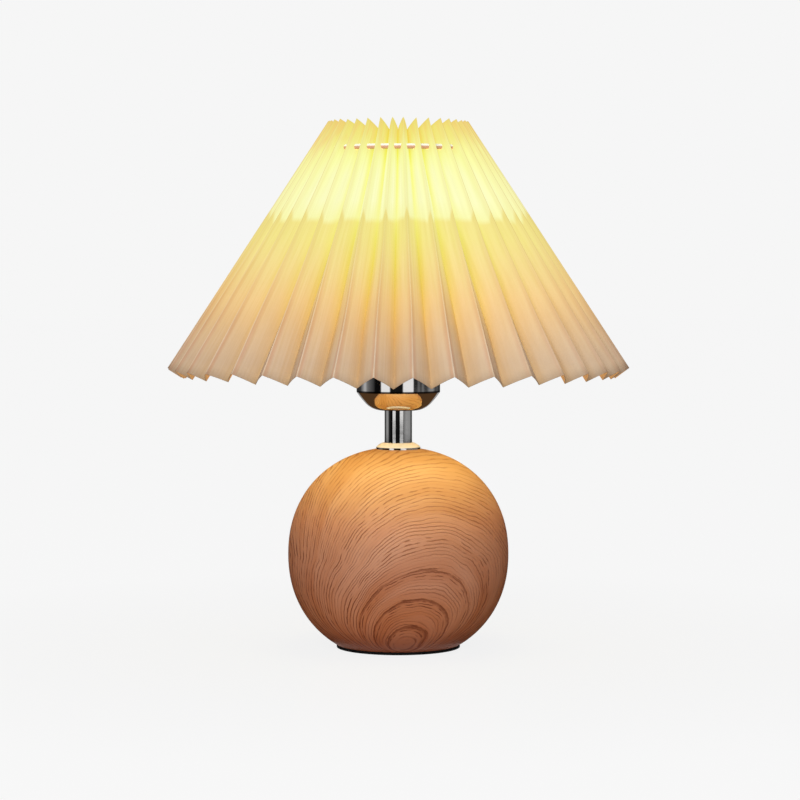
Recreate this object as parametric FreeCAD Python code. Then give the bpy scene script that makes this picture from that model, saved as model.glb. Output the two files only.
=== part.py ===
import FreeCAD, Part
import math
import os

# A table lamp: a turned wooden ball on a black foot pad, a bright stem and cup that carry the
# bulb holder, and a pleated shade threaded on a wire ring. Lengths are in millimetres.
# The origin is the centre of the foot pad's underside, +Z is up and the front faces -Y.

V = FreeCAD.Vector
UP = V(0, 0, 1)
FULL_TURN = 360.0
HEX_SIDES = 6
CUT_OVERRUN = 1.0
THREAD_CLEARANCE = 0.05
RUNNING_CLEARANCE = 0.08
BODY_GAP = 0.3

# Wooden ball, its foot pad and the ballast inside it
BALL_RADIUS = 71.9
BALL_HALF_HEIGHT = 69.4
BALL_FULLNESS = 2.15
BALL_OUTLINE_STEPS = 14
FOOT_FLAT_RADIUS = 39.9
CROWN_FLAT_RADIUS = 14.6
PAD_RADIUS = 40.3
PAD_THICKNESS = 1.7
CAVITY_RADIUS = 31.0
CAVITY_DEPTH = 30.0
BALLAST_RADIUS = 30.4
BALLAST_THICKNESS = 12.0

# Hollow threaded rod that ties the lamp together, with its nuts and washers
ROD_RADIUS = 5.0
ROD_BORE_RADIUS = 3.5
ROD_BOTTOM_TAIL = 1.5
ROD_HOLE_CLEARANCE = 0.3
CLAMP_WASHER_RADIUS = 14.0
CLAMP_WASHER_THICKNESS = 1.6
SPRING_WASHER_RADIUS = 8.6
SPRING_WASHER_THICKNESS = 2.2
SPRING_WASHER_SPLIT = 1.2
CLAMP_NUT_FLATS = 17.0
CLAMP_NUT_HEIGHT = 8.0
TOOTH_WASHER_RADIUS = 8.4
TOOTH_WASHER_THICKNESS = 0.8
TOOTH_WASHER_TEETH = 10
TOOTH_WASHER_NOTCH_RADIUS = 1.1
CUP_NUT_FLATS = 14.0
CUP_NUT_HEIGHT = 3.0

# Inlet bush for the supply cord, low at the back of the ball
BUSH_HEIGHT = 13.0
BUSH_RADIUS = 4.5
BUSH_BORE_RADIUS = 3.3
BUSH_PROTRUSION = 2.6
BUSH_LIP_CHAMFER = 0.6

# Collar, stem tube and holder cup
COLLAR_RADIUS = 14.4
COLLAR_RIM = 1.3
COLLAR_HEIGHT = 4.2
COLLAR_NECK_RADIUS = 9.4
COLLAR_FLARE_RADIUS = 9.0
COLLAR_FLOOR = 1.2
TUBE_RADIUS = 9.0
TUBE_WALL = 0.9
TUBE_LENGTH = 24.0
TUBE_SEAT_CLEARANCE = 0.06
CUP_RADIUS = 27.2
CUP_WALL = 0.8
CUP_FLOOR_RADIUS = 10.6
CUP_KNUCKLE_RADIUS = 14.8
CUP_KNUCKLE_ANGLE = 46.5
CUP_FLARE_RADIUS = 53.0
CUP_HEIGHT = 44.0
CUP_RIM_RADIUS = 0.9

# Bulb holder: base, core, contacts and outer skirt
HOLDER_RADIUS = 20.5
HOLDER_WALL = 2.0
HOLDER_BOSS_RADIUS = 9.0
HOLDER_BOSS_HEIGHT = 10.0
HOLDER_SHOULDER_HEIGHT = 11.5
HOLDER_SHOULDER_RADIUS = 13.0
HOLDER_BASE_HEIGHT = 23.5
HOLDER_LEDGE_HEIGHT = 15.5
HOLDER_LEDGE_WIDTH = 3.0
SPIGOT_CLEARANCE = 0.2
SKIRT_LOWER_HEIGHT = 17.5
SKIRT_FLANGE_RADIUS = 23.5
SKIRT_FLANGE_THICKNESS = 2.0
SKIRT_THREAD_RADIUS = 19.7
SKIRT_THREAD_HEIGHT = 18.0
SKIRT_WALL = 2.2
SKIRT_LIP_THICKNESS = 1.5
SKIRT_MOUTH_RADIUS = 14.8
CORE_RADIUS = 16.8
CORE_FLANGE_THICKNESS = 3.6
CORE_HEIGHT = 16.0
TERMINAL_OFFSET = 10.0
TERMINAL_HEAD_RADIUS = 3.0
TERMINAL_HEAD_HEIGHT = 2.6
TERMINAL_SHANK_RADIUS = 1.6
TERMINAL_SHANK_LENGTH = 8.0
TERMINAL_SLOT_WIDTH = 0.8
TERMINAL_SLOT_DEPTH = 1.0
SHELL_BORE_RADIUS = 13.6
SHELL_WALL = 0.5
SHELL_FLOOR_BORE_RADIUS = 9.0
SHELL_TOP_CLEARANCE = 0.2
PIN_RADIUS = 1.5
PIN_HEAD_RADIUS = 3.2
PIN_HEAD_THICKNESS = 1.2
PIN_LENGTH = 9.0
PIN_TRAVEL = 1.0
PIN_SPACE = 0.5

# Shade ring nut
RING_NUT_FLANGE_RADIUS = 24.6
RING_NUT_FLANGE_THICKNESS = 2.0
RING_NUT_COLLAR_RADIUS = 23.0
RING_NUT_HEIGHT = 8.0
RING_NUT_GRIPS = 24
RING_NUT_GRIP_RADIUS = 1.2

# Bulb with a screw cap, a flared housing and a frosted dome
TIP_RADIUS = 4.6
TIP_HEIGHT = 1.5
INSULATOR_HEIGHT = 3.5
INSULATOR_TOP_RADIUS = 11.0
CAP_RADIUS = 13.1
CAP_HEIGHT = 21.7
CAP_CHAMFER = 1.6
HOUSING_NECK_RADIUS = 14.2
HOUSING_RADIUS = 29.0
HOUSING_HEIGHT = 59.8
HOUSING_RIM_HEIGHT = 4.0
HOUSING_NECK_HEIGHT = 8.5
HOUSING_WALL = 1.8
HOUSING_FLOOR = 3.0
DOME_RADIUS = 30.0
DOME_WALL = 1.5
LED_BOARD_RADIUS = 28.2
LED_BOARD_THICKNESS = 1.6
LED_COUNT = 10
LED_CIRCLE_RADIUS = 18.0
LED_SIDE = 3.4
LED_HEIGHT = 0.8

# Pleated shade. The outer folds run straight from the top radius to the bottom radius.
SHADE_TOP_RADIUS = 45.5
SHADE_BOTTOM_RADIUS = 150.0
SHADE_HEIGHT = 159.8
SHADE_LIFT = 182.8
PLEAT_COUNT = 40
PLEAT_DEPTH = 14.0
PLEAT_TURN = -1.1
SHEET_THICKNESS = 0.4
FOLD_ANGLE_TOLERANCE = 0.001

# Wire carrier: fitter ring, arms and the gather ring that threads the pleats
FITTER_CLEARANCE = 1.3
FITTER_WIDTH = 4.5
FITTER_THICKNESS = 2.0
GATHER_SLANT = 17.65
GATHER_DEPTH_SHARE = 0.5
GATHER_WIRE_RADIUS = 1.7
ARM_COUNT = 4
ARM_RADIUS = 1.2
ARM_REACH = 11.0
ARM_BEND_RADIUS = 6.0

# Heights that follow from the stack, from the foot up
ball_centre = PAD_THICKNESS + BALL_HALF_HEIGHT * (
    1 - (FOOT_FLAT_RADIUS / BALL_RADIUS) ** BALL_FULLNESS) ** (1 / BALL_FULLNESS)
crown = ball_centre + BALL_HALF_HEIGHT * (
    1 - (CROWN_FLAT_RADIUS / BALL_RADIUS) ** BALL_FULLNESS) ** (1 / BALL_FULLNESS)
cavity_roof = PAD_THICKNESS + CAVITY_DEPTH
ballast_bottom = cavity_roof - BALLAST_THICKNESS
clamp_washer_bottom = ballast_bottom - CLAMP_WASHER_THICKNESS
spring_washer_bottom = clamp_washer_bottom - SPRING_WASHER_THICKNESS
clamp_nut_bottom = spring_washer_bottom - CLAMP_NUT_HEIGHT
tube_bottom = crown + COLLAR_FLOOR
cup_bottom = tube_bottom + TUBE_LENGTH
tooth_washer_bottom = cup_bottom + CUP_WALL
cup_nut_bottom = tooth_washer_bottom + TOOTH_WASHER_THICKNESS
holder_bottom = cup_nut_bottom + CUP_NUT_HEIGHT
ledge = holder_bottom + HOLDER_LEDGE_HEIGHT
skirt_bottom = holder_bottom + HOLDER_BASE_HEIGHT
core_top = ledge + CORE_HEIGHT
flange_bottom = skirt_bottom + SKIRT_LOWER_HEIGHT
flange_top = flange_bottom + SKIRT_FLANGE_THICKNESS
skirt_top = flange_top + SKIRT_THREAD_HEIGHT
fitter_bottom = flange_top + BODY_GAP
fitter_top = fitter_bottom + FITTER_THICKNESS
ring_nut_bottom = fitter_top + BODY_GAP
pin_head_bottom = core_top + PIN_TRAVEL + PIN_SPACE
pin_top = pin_head_bottom + PIN_HEAD_THICKNESS
tip_bottom = pin_top + BODY_GAP
insulator_bottom = tip_bottom + TIP_HEIGHT
cap_bottom = insulator_bottom + INSULATOR_HEIGHT
housing_bottom = cap_bottom + CAP_HEIGHT
dome_bottom = housing_bottom + HOUSING_HEIGHT
rod_bottom = clamp_nut_bottom - ROD_BOTTOM_TAIL
rod_top = holder_bottom + HOLDER_BOSS_HEIGHT - ROD_BOTTOM_TAIL

# Shade geometry that follows from the driving sizes
slant_angle = math.atan2(SHADE_BOTTOM_RADIUS - SHADE_TOP_RADIUS, SHADE_HEIGHT)
slant_length = math.hypot(SHADE_BOTTOM_RADIUS - SHADE_TOP_RADIUS, SHADE_HEIGHT)
shade_top = SHADE_LIFT + SHADE_HEIGHT
half_pleat = FULL_TURN / PLEAT_COUNT / 2


def at(radius, height):
    """A point of an outline in the XZ plane."""
    return V(radius, 0, height)


def line(start, end):
    return Part.makeLine(start, end)


def arc(start, end, radius):
    """The short arc from start to end that bulges to the right of the way it runs."""
    chord = end - start
    middle = (start + end) * 0.5
    sag = radius - math.sqrt(radius ** 2 - (chord.Length / 2) ** 2)
    side = V(chord.z, 0, -chord.x).normalize()
    return Part.Arc(start, middle + side * sag, end).toShape()


def turned(edges):
    """Revolve a closed outline of the XZ plane about the Z axis."""
    face = Part.Face(Part.Wire(Part.__sortEdges__(edges)))
    return face.revolve(V(), UP, FULL_TURN)


def turned_polygon(points):
    face = Part.Face(Part.makePolygon(points + points[:1]))
    return face.revolve(V(), UP, FULL_TURN)


def disc(radius, thickness, bottom, bore=0):
    solid = Part.makeCylinder(radius, thickness, at(0, bottom))
    if bore:
        hole = Part.makeCylinder(bore, thickness + 2 * CUT_OVERRUN, at(0, bottom - CUT_OVERRUN))
        solid = solid.cut(hole)
    return solid


def hex_nut(flats, height, bottom, bore):
    corner = at(flats / 2 / math.cos(math.pi / HEX_SIDES), bottom)
    turns = [2 * math.pi / HEX_SIDES * side for side in range(HEX_SIDES)]
    corners = [V(corner.x * math.cos(turn), corner.x * math.sin(turn), bottom) for turn in turns]
    prism = Part.Face(Part.makePolygon(corners + corners[:1])).extrude(V(0, 0, height))
    hole = Part.makeCylinder(bore, height + 2 * CUT_OVERRUN, at(0, bottom - CUT_OVERRUN))
    return prism.cut(hole)


def spun(shape, angle):
    copy = shape.copy()
    copy.rotate(V(), UP, angle)
    return copy


def ball_point(share):
    """A point of the ball's outline; share runs from -1 at the foot pole to 1 at the crown pole."""
    turn = share * math.pi / 2
    radius = BALL_RADIUS * math.cos(turn) ** (2 / BALL_FULLNESS)
    rise = BALL_HALF_HEIGHT * abs(math.sin(turn)) ** (2 / BALL_FULLNESS)
    return at(radius, ball_centre + math.copysign(rise, share))


def ball_share(radius, side):
    """The share at which the outline has this radius, below the middle at -1 or above it at 1."""
    return side * math.acos((radius / BALL_RADIUS) ** (BALL_FULLNESS / 2)) / (math.pi / 2)


def ball_surface_radius(height):
    rise = abs(height - ball_centre) / BALL_HALF_HEIGHT
    return BALL_RADIUS * (1 - rise ** BALL_FULLNESS) ** (1 / BALL_FULLNESS)


# Ball and what it holds
def ball_base():
    first = ball_share(FOOT_FLAT_RADIUS, -1)
    last = ball_share(CROWN_FLAT_RADIUS, 1)
    steps = range(BALL_OUTLINE_STEPS + 1)
    points = [ball_point(first + (last - first) * step / BALL_OUTLINE_STEPS) for step in steps]
    curve = Part.BSplineCurve()
    curve.interpolate(points)
    rod_hole = ROD_RADIUS + ROD_HOLE_CLEARANCE
    corners = [points[-1], at(rod_hole, crown), at(rod_hole, cavity_roof),
               at(CAVITY_RADIUS, cavity_roof), at(CAVITY_RADIUS, PAD_THICKNESS), points[0]]
    edges = [curve.toShape()] + [line(a, b) for a, b in zip(corners, corners[1:])]
    reach = ball_surface_radius(BUSH_HEIGHT) + BALL_RADIUS
    inlet = Part.makeCylinder(BUSH_RADIUS, reach, V(0, CAVITY_RADIUS - BUSH_RADIUS, BUSH_HEIGHT),
                              V(0, 1, 0))
    return turned(edges).cut(inlet)


def foot_pad():
    return disc(PAD_RADIUS, PAD_THICKNESS, 0)


def ballast_disc():
    return disc(BALLAST_RADIUS, BALLAST_THICKNESS, ballast_bottom, ROD_RADIUS + ROD_HOLE_CLEARANCE)


def cord_inlet_bush():
    inner = math.sqrt(CAVITY_RADIUS ** 2 - BUSH_RADIUS ** 2)
    length = ball_surface_radius(BUSH_HEIGHT) + BUSH_PROTRUSION - inner
    start = V(0, inner, BUSH_HEIGHT)
    back = V(0, 1, 0)
    sleeve = Part.makeCylinder(BUSH_RADIUS, length, start, back)
    outer_rim = [edge for edge in sleeve.Edges if edge.Closed and edge.BoundBox.YMin > inner + length / 2]
    sleeve = sleeve.makeChamfer(BUSH_LIP_CHAMFER, outer_rim)
    bore = Part.makeCylinder(BUSH_BORE_RADIUS, length + 2 * CUT_OVERRUN,
                             start - back * CUT_OVERRUN, back)
    return sleeve.cut(bore)


# Rod, nuts and washers
def threaded_rod():
    return disc(ROD_RADIUS, rod_top - rod_bottom, rod_bottom, ROD_BORE_RADIUS)


def clamp_washer():
    return disc(CLAMP_WASHER_RADIUS, CLAMP_WASHER_THICKNESS, clamp_washer_bottom,
                ROD_RADIUS + ROD_HOLE_CLEARANCE)


def spring_washer():
    ring = disc(SPRING_WASHER_RADIUS, SPRING_WASHER_THICKNESS, spring_washer_bottom,
                ROD_RADIUS + ROD_HOLE_CLEARANCE)
    split = Part.makeBox(SPRING_WASHER_RADIUS + CUT_OVERRUN, SPRING_WASHER_SPLIT,
                         SPRING_WASHER_THICKNESS + 2 * CUT_OVERRUN,
                         V(0, -SPRING_WASHER_SPLIT / 2, spring_washer_bottom - CUT_OVERRUN))
    return ring.cut(split)


def clamp_nut():
    return hex_nut(CLAMP_NUT_FLATS, CLAMP_NUT_HEIGHT, clamp_nut_bottom, ROD_RADIUS + THREAD_CLEARANCE)


def tooth_washer():
    ring = disc(TOOTH_WASHER_RADIUS, TOOTH_WASHER_THICKNESS, tooth_washer_bottom,
                ROD_RADIUS + ROD_HOLE_CLEARANCE)
    notch = Part.makeCylinder(TOOTH_WASHER_NOTCH_RADIUS, TOOTH_WASHER_THICKNESS + 2 * CUT_OVERRUN,
                              at(TOOTH_WASHER_RADIUS, tooth_washer_bottom - CUT_OVERRUN))
    pitch = FULL_TURN / TOOTH_WASHER_TEETH
    return ring.cut([spun(notch, pitch * tooth) for tooth in range(TOOTH_WASHER_TEETH)])


def cup_nut():
    return hex_nut(CUP_NUT_FLATS, CUP_NUT_HEIGHT, cup_nut_bottom, ROD_RADIUS + THREAD_CLEARANCE)


# Bright metal: collar, stem and cup
def stem_collar():
    bore = ROD_RADIUS + ROD_HOLE_CLEARANCE
    seat = TUBE_RADIUS + TUBE_SEAT_CLEARANCE
    rim_top = at(COLLAR_RADIUS, crown + COLLAR_RIM)
    neck = at(COLLAR_NECK_RADIUS, crown + COLLAR_HEIGHT)
    corners = [neck, at(seat, crown + COLLAR_HEIGHT), at(seat, tube_bottom), at(bore, tube_bottom),
               at(bore, crown), at(COLLAR_RADIUS, crown), rim_top]
    edges = [arc(rim_top, neck, COLLAR_FLARE_RADIUS)]
    edges += [line(a, b) for a, b in zip(corners, corners[1:])]
    return turned(edges)


def stem_tube():
    return disc(TUBE_RADIUS, TUBE_LENGTH, tube_bottom, TUBE_RADIUS - TUBE_WALL)


def cup_skin(inset):
    """Start, crease and arcs of the cup's outline from its floor to its wall, this far inside its skin."""
    knuckle_centre = at(CUP_FLOOR_RADIUS, cup_bottom + CUP_KNUCKLE_RADIUS)
    angle = math.radians(CUP_KNUCKLE_ANGLE)
    outward = at(math.sin(angle), -math.cos(angle))
    flare_centre = knuckle_centre - outward * (CUP_FLARE_RADIUS - CUP_KNUCKLE_RADIUS)
    flare = CUP_FLARE_RADIUS - inset
    wall = CUP_RADIUS - inset
    start = at(CUP_FLOOR_RADIUS, cup_bottom + inset)
    knuckle_end = knuckle_centre + outward * (CUP_KNUCKLE_RADIUS - inset)
    crease = at(wall, flare_centre.z - math.sqrt(flare ** 2 - (wall - flare_centre.x) ** 2))
    arcs = [arc(start, knuckle_end, CUP_KNUCKLE_RADIUS - inset), arc(knuckle_end, crease, flare)]
    return start, crease, arcs


def holder_cup():
    """A spun cup: flat floor, round knuckle, flaring bowl, then a crease into the upright wall."""
    bore = ROD_RADIUS + ROD_HOLE_CLEARANCE
    inner_radius = CUP_RADIUS - CUP_WALL
    rim = cup_bottom + CUP_HEIGHT
    start, crease, edges = cup_skin(0)
    inner_start, inner_crease, inner_arcs = cup_skin(CUP_WALL)
    edges += inner_arcs
    wall = [crease, at(CUP_RADIUS, rim), at(inner_radius, rim), inner_crease]
    floor = [inner_start, at(bore, cup_bottom + CUP_WALL), at(bore, cup_bottom), start]
    edges += [line(a, b) for corners in (wall, floor) for a, b in zip(corners, corners[1:])]
    bead = Part.makeTorus(CUP_RADIUS, CUP_RIM_RADIUS, at(0, rim))
    keep_out = disc(inner_radius, 2 * CUP_RIM_RADIUS + 2 * CUT_OVERRUN, rim - CUP_RIM_RADIUS - CUT_OVERRUN)
    return turned(edges).fuse(bead.cut(keep_out)).removeSplitter()


# Bulb holder
def holder_base():
    """A flared cap with a threaded boss below and a ledge inside for the core."""
    boss_bore = ROD_RADIUS + THREAD_CLEARANCE
    inner = HOLDER_RADIUS - HOLDER_WALL
    boss_top = holder_bottom + HOLDER_BOSS_HEIGHT
    shoulder = holder_bottom + HOLDER_SHOULDER_HEIGHT
    ledge_bore = inner - HOLDER_LEDGE_WIDTH
    boss_foot = holder_bottom + HOLDER_WALL
    points = [at(boss_bore, holder_bottom), at(HOLDER_BOSS_RADIUS, holder_bottom),
              at(HOLDER_SHOULDER_RADIUS, boss_foot),
              at(HOLDER_RADIUS, shoulder), at(HOLDER_RADIUS, skirt_bottom),
              at(inner, skirt_bottom), at(inner, ledge), at(ledge_bore, ledge),
              at(ledge_bore, shoulder + HOLDER_WALL / 2),
              at(HOLDER_BOSS_RADIUS, boss_foot + HOLDER_WALL),
              at(HOLDER_BOSS_RADIUS, boss_top), at(boss_bore, boss_top)]
    return turned_polygon(points)


def holder_core():
    """The insulating block that carries the contacts."""
    inner = HOLDER_RADIUS - HOLDER_WALL - SPIGOT_CLEARANCE
    flange_height = ledge + CORE_FLANGE_THICKNESS
    points = [at(0, ledge), at(inner, ledge), at(inner, flange_height), at(CORE_RADIUS, flange_height),
              at(CORE_RADIUS, core_top), at(0, core_top)]
    pin_depth = PIN_LENGTH + PIN_TRAVEL
    pin_hole = Part.makeCylinder(PIN_RADIUS + RUNNING_CLEARANCE, pin_depth + CUT_OVERRUN,
                                 at(0, core_top - pin_depth))
    holes = [pin_hole]
    for side in (-1, 1):
        holes.append(Part.makeCylinder(TERMINAL_SHANK_RADIUS, TERMINAL_SHANK_LENGTH + CUT_OVERRUN,
                                       V(side * TERMINAL_OFFSET, 0, ledge - CUT_OVERRUN)))
    return turned_polygon(points).cut(holes)


def terminal_screws():
    screws = []
    for side in (-1, 1):
        foot = V(side * TERMINAL_OFFSET, 0, ledge - TERMINAL_HEAD_HEIGHT)
        head = Part.makeCylinder(TERMINAL_HEAD_RADIUS, TERMINAL_HEAD_HEIGHT, foot)
        shank = Part.makeCylinder(TERMINAL_SHANK_RADIUS, TERMINAL_HEAD_HEIGHT + TERMINAL_SHANK_LENGTH, foot)
        slot_corner = foot - V(TERMINAL_HEAD_RADIUS + CUT_OVERRUN, TERMINAL_SLOT_WIDTH / 2, CUT_OVERRUN)
        slot = Part.makeBox(2 * TERMINAL_HEAD_RADIUS + 2 * CUT_OVERRUN, TERMINAL_SLOT_WIDTH,
                            TERMINAL_SLOT_DEPTH + CUT_OVERRUN, slot_corner)
        screws.append(head.fuse(shank).removeSplitter().cut(slot))
    return Part.Compound(screws)


def screw_shell():
    """The thin metal shell that takes the bulb's cap."""
    outer = SHELL_BORE_RADIUS + SHELL_WALL
    top = skirt_top - SKIRT_LIP_THICKNESS - SHELL_TOP_CLEARANCE
    points = [at(SHELL_FLOOR_BORE_RADIUS, core_top), at(outer, core_top), at(outer, top),
              at(SHELL_BORE_RADIUS, top), at(SHELL_BORE_RADIUS, core_top + SHELL_WALL),
              at(SHELL_FLOOR_BORE_RADIUS, core_top + SHELL_WALL)]
    return turned_polygon(points)


def centre_contact():
    """The sprung pin under the bulb's tip."""
    stem = Part.makeCylinder(PIN_RADIUS, PIN_LENGTH + PIN_TRAVEL, at(0, pin_head_bottom - PIN_LENGTH))
    head = Part.makeCylinder(PIN_HEAD_RADIUS, PIN_HEAD_THICKNESS, at(0, pin_head_bottom))
    return stem.fuse(head).removeSplitter()


def holder_skirt():
    """The outer shell: a spigot into the base, a flange for the shade and a threaded neck."""
    inner = SKIRT_THREAD_RADIUS - SKIRT_WALL
    spigot = HOLDER_RADIUS - HOLDER_WALL - SPIGOT_CLEARANCE
    spigot_bottom = ledge + CORE_FLANGE_THICKNESS + SPIGOT_CLEARANCE
    points = [at(inner, spigot_bottom), at(spigot, spigot_bottom), at(spigot, skirt_bottom),
              at(HOLDER_RADIUS, skirt_bottom), at(HOLDER_RADIUS, flange_bottom - SKIRT_FLANGE_THICKNESS),
              at(SKIRT_FLANGE_RADIUS, flange_bottom), at(SKIRT_FLANGE_RADIUS, flange_top),
              at(SKIRT_THREAD_RADIUS, flange_top), at(SKIRT_THREAD_RADIUS, skirt_top),
              at(SKIRT_MOUTH_RADIUS, skirt_top), at(SKIRT_MOUTH_RADIUS, skirt_top - SKIRT_LIP_THICKNESS),
              at(inner, skirt_top - SKIRT_LIP_THICKNESS)]
    return turned_polygon(points)


def shade_ring_nut():
    """A flanged nut with scalloped grips that holds the shade's fitter ring down."""
    bore = SKIRT_THREAD_RADIUS + RUNNING_CLEARANCE
    top = ring_nut_bottom + RING_NUT_HEIGHT
    flange = ring_nut_bottom + RING_NUT_FLANGE_THICKNESS
    points = [at(bore, ring_nut_bottom), at(RING_NUT_FLANGE_RADIUS, ring_nut_bottom),
              at(RING_NUT_FLANGE_RADIUS, flange), at(RING_NUT_COLLAR_RADIUS, flange),
              at(RING_NUT_COLLAR_RADIUS, top), at(bore, top)]
    grip = Part.makeCylinder(RING_NUT_GRIP_RADIUS, RING_NUT_HEIGHT,
                             at(RING_NUT_COLLAR_RADIUS + RING_NUT_GRIP_RADIUS / 2, flange))
    pitch = FULL_TURN / RING_NUT_GRIPS
    return turned_polygon(points).cut([spun(grip, pitch * turn) for turn in range(RING_NUT_GRIPS)])


# Bulb
def bulb_tip():
    points = [at(0, tip_bottom), at(TIP_RADIUS / 2, tip_bottom), at(TIP_RADIUS, insulator_bottom),
              at(0, insulator_bottom)]
    return turned_polygon(points)


def bulb_insulator():
    points = [at(0, insulator_bottom), at(TIP_RADIUS, insulator_bottom),
              at(INSULATOR_TOP_RADIUS, cap_bottom), at(0, cap_bottom)]
    return turned_polygon(points)


def bulb_cap():
    points = [at(0, cap_bottom), at(CAP_RADIUS - CAP_CHAMFER, cap_bottom),
              at(CAP_RADIUS, cap_bottom + CAP_CHAMFER), at(CAP_RADIUS, housing_bottom),
              at(0, housing_bottom)]
    return turned_polygon(points)


def bulb_housing():
    """A cup that sweeps out from a straight neck to its rim in two equal arcs, with a floor over the cap."""
    low = housing_bottom + HOUSING_NECK_HEIGHT
    high = dome_bottom - HOUSING_RIM_HEIGHT
    floor = housing_bottom + HOUSING_FLOOR
    spread = HOUSING_RADIUS - HOUSING_NECK_RADIUS
    bend = (spread ** 2 + (high - low) ** 2) / (4 * spread)
    lean = 2 * math.atan2(spread, high - low)
    inner_neck = HOUSING_NECK_RADIUS - HOUSING_WALL
    inner_rim = HOUSING_RADIUS - HOUSING_WALL
    middle = at((HOUSING_NECK_RADIUS + HOUSING_RADIUS) / 2, (low + high) / 2)
    inner_middle = middle + at(-math.cos(lean), math.sin(lean)) * HOUSING_WALL
    neck = [at(inner_neck, low), at(inner_neck, floor), at(0, floor), at(0, housing_bottom),
            at(HOUSING_NECK_RADIUS, housing_bottom), at(HOUSING_NECK_RADIUS, low)]
    rim = [at(HOUSING_RADIUS, high), at(HOUSING_RADIUS, dome_bottom), at(inner_rim, dome_bottom),
           at(inner_rim, high)]
    edges = [arc(middle, neck[-1], bend), arc(middle, rim[0], bend),
             arc(inner_middle, neck[0], bend + HOUSING_WALL),
             arc(inner_middle, rim[-1], bend - HOUSING_WALL)]
    edges += [line(a, b) for corners in (neck, rim) for a, b in zip(corners, corners[1:])]
    return turned(edges)


def led_board():
    bottom = dome_bottom
    board = disc(LED_BOARD_RADIUS, LED_BOARD_THICKNESS, bottom)
    chip = Part.makeBox(LED_SIDE, LED_SIDE, LED_HEIGHT,
                        V(LED_CIRCLE_RADIUS - LED_SIDE / 2, -LED_SIDE / 2, bottom + LED_BOARD_THICKNESS))
    pitch = FULL_TURN / LED_COUNT
    return board.fuse([spun(chip, pitch * turn) for turn in range(LED_COUNT)])


def bulb_dome():
    """A frosted half ball that stands on the housing's rim."""
    outer, inner = (Part.makeSphere(radius, at(0, dome_bottom), UP, 0, FULL_TURN / 4, FULL_TURN)
                    for radius in (DOME_RADIUS, DOME_RADIUS - DOME_WALL))
    return outer.cut(inner)


# Pleated shade
def meridian(slant, depth):
    """Radius and height of a point, by its way down the slant and its depth inside the outer folds."""
    radius = SHADE_TOP_RADIUS + slant * math.sin(slant_angle) - depth * math.cos(slant_angle)
    height = shade_top - slant * math.cos(slant_angle) - depth * math.sin(slant_angle)
    return radius, height


def on_shade(slant, depth, degrees):
    radius, height = meridian(slant, depth)
    return V(radius * math.cos(math.radians(degrees)), radius * math.sin(math.radians(degrees)), height)


def fold_thickness(slant):
    """How far the sheet's inner side lies behind its outer side, measured in a fold's own plane."""
    outer = meridian(slant, 0)[0]
    inner = meridian(slant, PLEAT_DEPTH)[0]
    chord = 2 * math.sqrt(outer * inner) * math.sin(math.radians(half_pleat) / 2)
    return SHEET_THICKNESS * math.hypot(PLEAT_DEPTH, chord) / chord


def half_pleat_solid():
    """The leaf of sheet between the valley fold at 0 degrees and the next outer fold."""
    ends = (0, slant_length)
    valley = [on_shade(slant, PLEAT_DEPTH, 0) for slant in ends]
    valley_in = [on_shade(slant, PLEAT_DEPTH + fold_thickness(slant), 0) for slant in ends]
    ridge = [on_shade(slant, 0, half_pleat) for slant in ends]
    ridge_in = [on_shade(slant, fold_thickness(slant), half_pleat) for slant in ends]
    rails = [valley, ridge, ridge_in, valley_in]
    faces = [Part.makeRuledSurface(line(*a), line(*b)) for a, b in zip(rails, rails[1:] + rails[:1])]
    for end in (0, 1):
        front = line(valley[end], ridge[end])
        back = line(valley_in[end], ridge_in[end])
        faces.append(Part.makeRuledSurface(front, back))
    shell = Part.Shell(faces)
    shell.sewShape()
    return Part.Solid(shell)


def punched_leaf():
    """The leaf with the round hole that the gather ring passes through."""
    radius, height = gather_circle()
    middle = math.radians(half_pleat / 2)
    centre = V(radius * math.cos(middle), radius * math.sin(middle), height)
    along = V(-math.sin(middle), math.cos(middle), 0)
    reach = PLEAT_DEPTH / 2
    punch = Part.makeCylinder(GATHER_WIRE_RADIUS + BODY_GAP, 2 * reach, centre - along * reach, along)
    return half_pleat_solid().cut(punch)


def gather_circle():
    return meridian(GATHER_SLANT, PLEAT_DEPTH * GATHER_DEPTH_SHARE)


def lies_on_fold(face):
    angles = [math.degrees(math.atan2(corner.Y, corner.X)) for corner in face.Vertexes]
    return max(angles) - min(angles) < FOLD_ANGLE_TOLERANCE


def shade_pleats():
    """One closed sheet of pleats: every leaf, mirrored and turned round, joined at its folds."""
    leaf = punched_leaf()
    pair = [leaf, leaf.mirror(V(), V(0, 1, 0))]
    skins = [face for half in pair for face in half.Faces if not lies_on_fold(face)]
    turns = [PLEAT_TURN + 2 * half_pleat * pleat for pleat in range(PLEAT_COUNT)]
    faces = [spun(face, turn) for turn in turns for face in skins]
    shell = Part.Shell(faces)
    shell.sewShape()
    return Part.Solid(shell)


# Wire carrier
def gather_ring():
    radius, height = gather_circle()
    return Part.makeTorus(radius, GATHER_WIRE_RADIUS, at(0, height))


def fitter_radii():
    inner = SKIRT_THREAD_RADIUS + FITTER_CLEARANCE
    return inner, inner + FITTER_WIDTH


def fitter_ring():
    inner, outer = fitter_radii()
    return disc(outer, FITTER_THICKNESS, fitter_bottom, inner)


def arm_angle(arm):
    """The outer fold nearest to this arm's even share of the turn, because an arm ends inside a fold."""
    pitch = 2 * half_pleat
    return PLEAT_TURN + pitch * round(FULL_TURN * arm / ARM_COUNT / pitch) + half_pleat


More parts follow.
